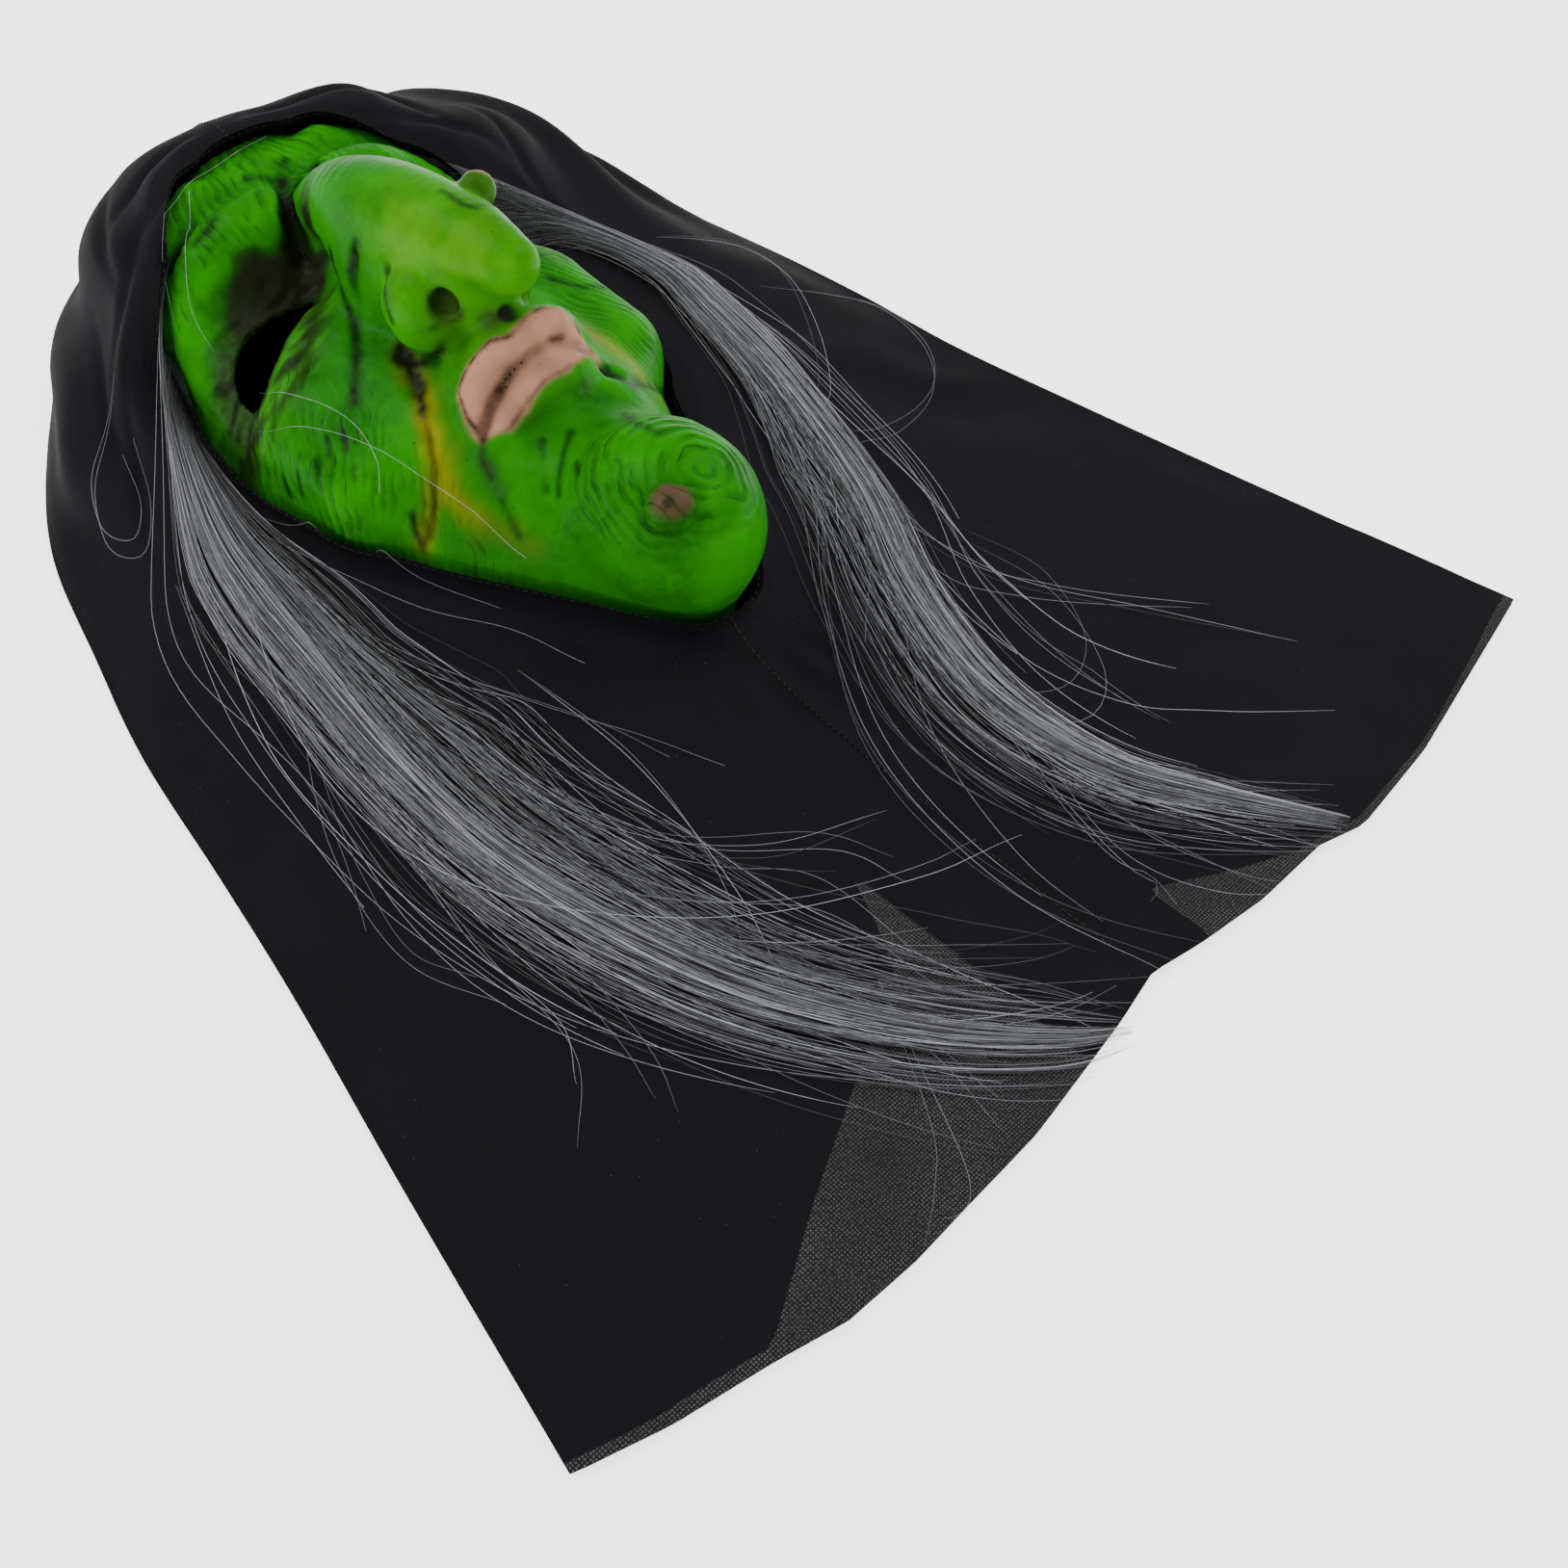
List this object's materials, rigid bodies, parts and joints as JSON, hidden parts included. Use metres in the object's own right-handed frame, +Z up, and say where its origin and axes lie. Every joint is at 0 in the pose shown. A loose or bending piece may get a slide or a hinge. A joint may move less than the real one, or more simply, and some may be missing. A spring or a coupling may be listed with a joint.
{
  "type": "latex halloween mask",
  "caption": "Soft latex hag face with a hooked nose and open eyes, sewn into a black knit hood that runs on as a short cape, with long grey hair at both temples.",
  "frame": {"origin": "middle of the footprint on the surface that the mask lies on", "axes": "+Z up, out of the face; +Y to the crown and -Y to the hem of the cape; +X to the wearer's left"},
  "size_m": [0.44, 0.517, 0.1252],
  "materials": {
    "latex": "glossy moulded latex, bright green with darker airbrushed creases",
    "knit": "matte black single-jersey knit with pale lint specks",
    "knit_strip": "matte black knit, folded double behind the centre-front seam",
    "thread": "black polyester sewing thread",
    "weft_tape": "grey woven hair weft",
    "hair": "shiny grey-white synthetic strands"
  },
  "bodies": {
    "head": {"latex_face": "latex", "hood_front_left": "knit", "hood_front_right": "knit", "hood_back_left": "knit", "hood_back_right": "knit", "back_seam_thread": "thread", "crown_seam_thread": "thread", "rim_stitching_left": "thread", "rim_stitching_right": "thread", "brow_stitching": "thread", "hair_weft_left": "weft_tape", "hair_weft_right": "weft_tape", "hair_root_left": "hair", "hair_root_right": "hair"},
    "cape": {"cape_front_left": "knit", "cape_front_right": "knit", "cape_back_left": "knit", "cape_back_right": "knit", "front_seam_strip": "knit_strip", "front_seam_thread": "thread", "hair_middle_left": "hair", "hair_middle_right": "hair"},
    "hair_left_tail": {"hair_tail_left": "hair"},
    "hair_right_tail": {"hair_tail_right": "hair"}
  },
  "joints": [
    {"name": "neck_fold", "type": "hinge", "parent": "head", "child": "cape", "pos_m": [0, -0.1004, 0.016], "axis": [-1, 0, 0], "range_deg": [0, 70]},
    {"name": "hair_left_lift", "type": "hinge", "parent": "cape", "child": "hair_left_tail", "pos_m": [0.0525, -0.133, 0.016], "axis": [-1, 0, 0], "range_deg": [0, 45]},
    {"name": "hair_right_lift", "type": "hinge", "parent": "cape", "child": "hair_right_tail", "pos_m": [-0.096, -0.133, 0.016], "axis": [-1, 0, 0], "range_deg": [0, 45]}
  ]
}
